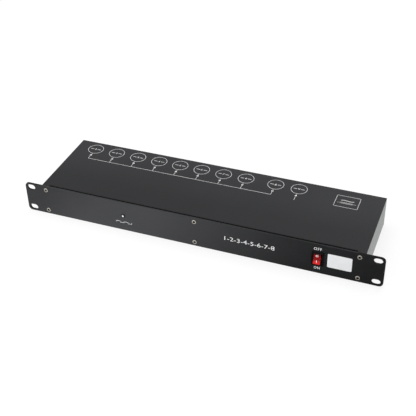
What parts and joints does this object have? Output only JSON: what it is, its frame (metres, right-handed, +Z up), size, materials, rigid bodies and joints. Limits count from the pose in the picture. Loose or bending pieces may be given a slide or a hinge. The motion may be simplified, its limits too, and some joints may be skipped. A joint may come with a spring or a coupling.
{
  "type": "rack-mount signal splitter",
  "caption": "Flat rack-mount signal splitter with eared front panel, rocker power switch, label plate, and a rear row of round sockets and a mains inlet.",
  "frame": {"origin": "middle of the underside of the case", "axes": "+X to the right seen from the front along the panel, +Y from the panel to the rear sockets, +Z up"},
  "size_m": [0.4826, 0.1326, 0.0438],
  "materials": {
    "black_paint": "satin black paint on sheet",
    "bare_sheet": "bare plated sheet, satin",
    "screw_steel": "plated steel",
    "lamp_lens": "milky lens",
    "black_plastic": "moulded black plastic",
    "red_plastic": "glossy translucent red",
    "label_white": "white plate",
    "latch_steel": "nickel plated",
    "fuse_glass": "glass tube",
    "circuit_board": "green solder mask",
    "core_steel": "varnished laminations",
    "wire_jacket": "soft wire jacket"
  },
  "bodies": {
    "root": {"front_panel": "black_paint", "top_cover": "black_paint", "rear_panel": "black_paint", "chassis_tray": "bare_sheet", "panel_screw_1": "screw_steel", "panel_screw_2": "screw_steel", "panel_screw_3": "screw_steel", "panel_screw_4": "screw_steel", "panel_screw_5": "screw_steel", "panel_screw_6": "screw_steel", "cover_screw_1": "screw_steel", "cover_screw_2": "screw_steel", "cover_screw_3": "screw_steel", "cover_screw_4": "screw_steel", "signal_led": "lamp_lens", "led_holder": "black_plastic", "switch_housing": "black_plastic", "mains_inlet": "black_plastic", "input_shell": "black_plastic", "input_insert": "black_plastic", "output_shell_1": "black_plastic", "output_shell_2": "black_plastic", "output_shell_3": "black_plastic", "output_shell_4": "black_plastic", "output_shell_5": "black_plastic", "output_shell_6": "black_plastic", "output_shell_7": "black_plastic", "output_shell_8": "black_plastic", "output_shell_9": "black_plastic", "output_insert_1": "black_plastic", "output_insert_2": "black_plastic", "output_insert_3": "black_plastic", "output_insert_4": "black_plastic", "output_insert_5": "black_plastic", "output_insert_6": "black_plastic", "output_insert_7": "black_plastic", "output_insert_8": "black_plastic", "output_insert_9": "black_plastic", "label_plate": "label_white", "splitter_board": "circuit_board", "power_board": "circuit_board", "mains_transformer": "core_steel", "live_lead": "wire_jacket", "neutral_lead": "wire_jacket", "switched_lead": "wire_jacket", "supply_lead": "wire_jacket", "lamp_lead": "wire_jacket"},
    "rocker": {"switch_rocker": "red_plastic"},
    "drawer": {"fuse_drawer": "black_plastic", "fuse": "fuse_glass"},
    "latch_1": {"output_latch_1": "latch_steel"},
    "latch_2": {"output_latch_2": "latch_steel"},
    "latch_3": {"output_latch_3": "latch_steel"},
    "latch_4": {"output_latch_4": "latch_steel"},
    "latch_5": {"output_latch_5": "latch_steel"},
    "latch_6": {"output_latch_6": "latch_steel"},
    "latch_7": {"output_latch_7": "latch_steel"},
    "latch_8": {"output_latch_8": "latch_steel"},
    "latch_9": {"output_latch_9": "latch_steel"}
  },
  "joints": [
    {"name": "rocker_tilt", "type": "hinge", "parent": "root", "child": "rocker", "pos_m": [0.1598, -0.0615, 0.0226], "axis": [1, 0, 0], "range_deg": [0, 20]},
    {"name": "fuse_drawer_slide", "type": "slide", "parent": "root", "child": "drawer", "axis": [0, 1, 0], "range_m": [0, 0.016]},
    {"name": "latch_1_press", "type": "slide", "parent": "root", "child": "latch_1", "axis": [0, -1, 0], "range_m": [0, 0.0015], "stiffness_N_per_m": 400, "springref_m": -0.001},
    {"name": "latch_2_press", "type": "slide", "parent": "root", "child": "latch_2", "axis": [0, -1, 0], "range_m": [0, 0.0015], "stiffness_N_per_m": 400, "springref_m": -0.001},
    {"name": "latch_3_press", "type": "slide", "parent": "root", "child": "latch_3", "axis": [0, -1, 0], "range_m": [0, 0.0015], "stiffness_N_per_m": 400, "springref_m": -0.001},
    {"name": "latch_4_press", "type": "slide", "parent": "root", "child": "latch_4", "axis": [0, -1, 0], "range_m": [0, 0.0015], "stiffness_N_per_m": 400, "springref_m": -0.001},
    {"name": "latch_5_press", "type": "slide", "parent": "root", "child": "latch_5", "axis": [0, -1, 0], "range_m": [0, 0.0015], "stiffness_N_per_m": 400, "springref_m": -0.001},
    {"name": "latch_6_press", "type": "slide", "parent": "root", "child": "latch_6", "axis": [0, -1, 0], "range_m": [0, 0.0015], "stiffness_N_per_m": 400, "springref_m": -0.001},
    {"name": "latch_7_press", "type": "slide", "parent": "root", "child": "latch_7", "axis": [0, -1, 0], "range_m": [0, 0.0015], "stiffness_N_per_m": 400, "springref_m": -0.001},
    {"name": "latch_8_press", "type": "slide", "parent": "root", "child": "latch_8", "axis": [0, -1, 0], "range_m": [0, 0.0015], "stiffness_N_per_m": 400, "springref_m": -0.001},
    {"name": "latch_9_press", "type": "slide", "parent": "root", "child": "latch_9", "axis": [0, -1, 0], "range_m": [0, 0.0015], "stiffness_N_per_m": 400, "springref_m": -0.001}
  ]
}
